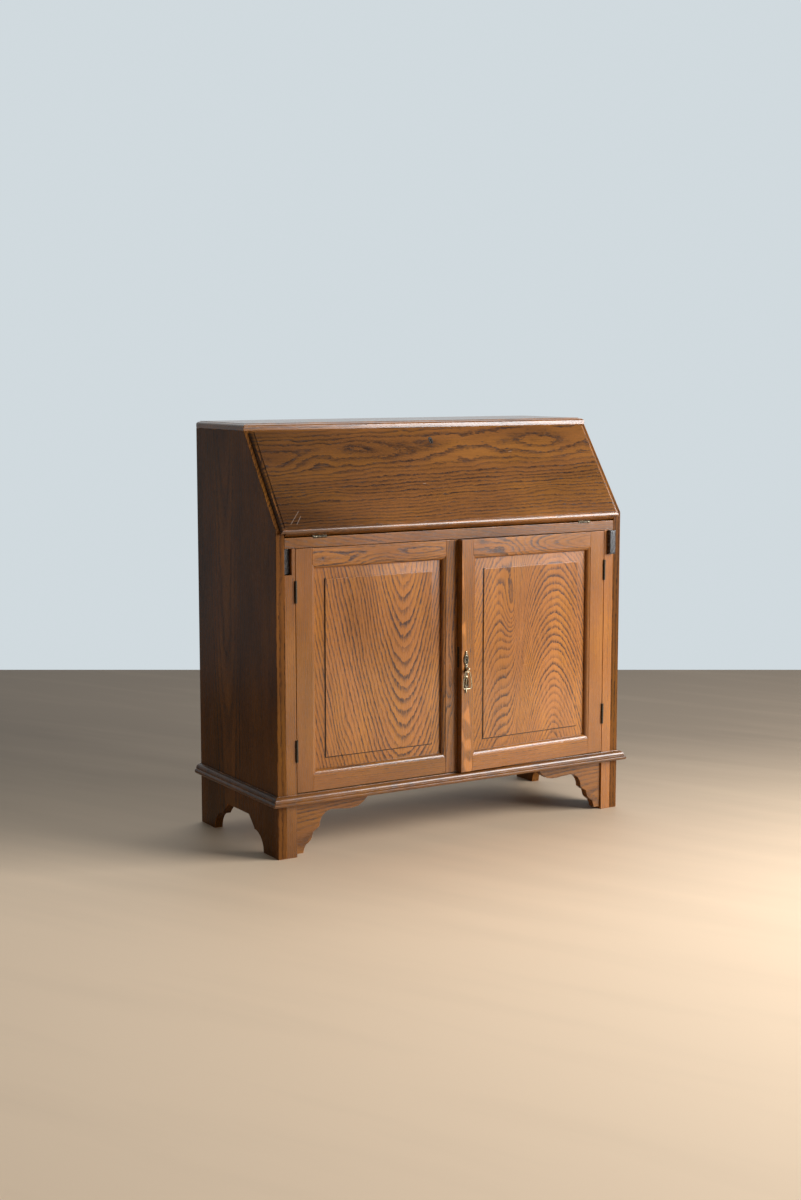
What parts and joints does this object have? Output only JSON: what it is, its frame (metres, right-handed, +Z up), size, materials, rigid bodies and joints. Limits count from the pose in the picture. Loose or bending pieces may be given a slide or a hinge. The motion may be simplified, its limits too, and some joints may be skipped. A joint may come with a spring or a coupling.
{
  "type": "secretary desk",
  "caption": "Slant-front oak writing desk: a fall that opens onto sliding supports over a cupboard with panelled doors, on a moulded base with shaped bracket feet.",
  "frame": {"origin": "middle of the bounding box on the floor", "axes": "+Z up, +X to the right as seen from the front, -Y towards the person who sits at the desk"},
  "size_m": [0.9954, 0.4386, 0.9775],
  "materials": {
    "oak": "satin varnish over stained oak with open grain",
    "oak_dark": "satin varnish over darker stained oak",
    "inner_wood": "lightly sealed plain softwood",
    "brass": "aged cast and rolled brass",
    "iron": "dull lock steel"
  },
  "bodies": {
    "case": {"side_left": "oak", "side_right": "oak", "top_board": "oak", "strike_rail": "oak", "front_rail": "oak", "writing_bed": "inner_wood", "bottom_board": "inner_wood", "back_panel": "inner_wood", "cupboard_shelf": "inner_wood", "front_stile_left": "oak", "front_stile_right": "oak", "loper_guide_left": "inner_wood", "loper_guide_right": "inner_wood", "base_moulding_front": "oak_dark", "base_moulding_left": "oak_dark", "base_moulding_right": "oak_dark", "front_bracket_left": "oak", "front_bracket_right": "oak", "rail_hinge_left": "brass", "rail_hinge_right": "brass", "left_case_leaf_lower": "brass", "left_case_leaf_upper": "brass", "right_case_leaf_lower": "brass", "right_case_leaf_upper": "brass", "pigeonhole_shelf": "inner_wood", "lower_divider_left": "inner_wood", "lower_divider_right": "inner_wood", "upper_divider_left": "inner_wood", "upper_divider_right": "inner_wood"},
    "fall": {"fall_board": "oak", "fall_hinge_left": "brass", "fall_hinge_right": "brass", "fall_lock": "brass", "fall_escutcheon": "brass"},
    "fall_bolt": {"fall_lock_bolt": "iron"},
    "left_door": {"left_hanging_stile": "oak", "left_meeting_stile": "oak", "left_top_rail": "oak", "left_bottom_rail": "oak", "left_door_panel": "oak", "left_door_leaf_lower": "brass", "left_door_leaf_upper": "brass"},
    "left_bolt": {"left_door_bolt": "brass"},
    "right_door": {"right_hanging_stile": "oak", "right_meeting_stile": "oak", "right_top_rail": "oak", "right_bottom_rail": "oak", "right_door_panel": "oak", "right_door_leaf_lower": "brass", "right_door_leaf_upper": "brass", "handle_plate": "brass", "door_lock": "iron"},
    "door_bolt": {"door_lock_bolt": "brass"},
    "bail": {"handle_bail": "brass"},
    "left_loper": {"loper_left": "oak_dark"},
    "right_loper": {"loper_right": "oak_dark"},
    "left_drawer": {"drawer_left": "inner_wood", "drawer_left_knob": "brass"},
    "right_drawer": {"drawer_right": "inner_wood", "drawer_right_knob": "brass"}
  },
  "joints": [
    {"name": "fall_hinge", "type": "hinge", "parent": "case", "child": "fall", "pos_m": [0, -0.18669, 0.7285], "axis": [1, 0, 0], "range_deg": [0, 126.2]},
    {"name": "fall_bolt_slide", "type": "slide", "parent": "fall", "child": "fall_bolt", "axis": [0, 0.5834, 0.8122], "range_m": [0, 0.008]},
    {"name": "left_door_hinge", "type": "hinge", "parent": "case", "child": "left_door", "pos_m": [-0.43125, -0.19018, 0.426], "axis": [0, 0, -1], "range_deg": [0, 90]},
    {"name": "left_bolt_slide", "type": "slide", "parent": "left_door", "child": "left_bolt", "axis": [0, 0, 1], "range_m": [0, 0.01]},
    {"name": "right_door_hinge", "type": "hinge", "parent": "case", "child": "right_door", "pos_m": [0.43125, -0.19018, 0.426], "axis": [0, 0, 1], "range_deg": [-2.25, 87.75]},
    {"name": "door_bolt_slide", "type": "slide", "parent": "right_door", "child": "door_bolt", "axis": [-0.9992, -0.0393, 0], "range_m": [0, 0.008]},
    {"name": "bail_pivot", "type": "hinge", "parent": "right_door", "child": "bail", "pos_m": [0.01301, -0.21132, 0.3918], "axis": [-0.9992, -0.0393, 0], "range_deg": [0, 80]},
    {"name": "left_loper_slide", "type": "slide", "parent": "case", "child": "left_loper", "axis": [0, -1, 0], "range_m": [0, 0.259]},
    {"name": "right_loper_slide", "type": "slide", "parent": "case", "child": "right_loper", "axis": [0, -1, 0], "range_m": [-0.0107, 0.2393]},
    {"name": "left_drawer_slide", "type": "slide", "parent": "case", "child": "left_drawer", "axis": [0, -1, 0], "range_m": [0, 0.12]},
    {"name": "right_drawer_slide", "type": "slide", "parent": "case", "child": "right_drawer", "axis": [0, -1, 0], "range_m": [0, 0.12]}
  ]
}
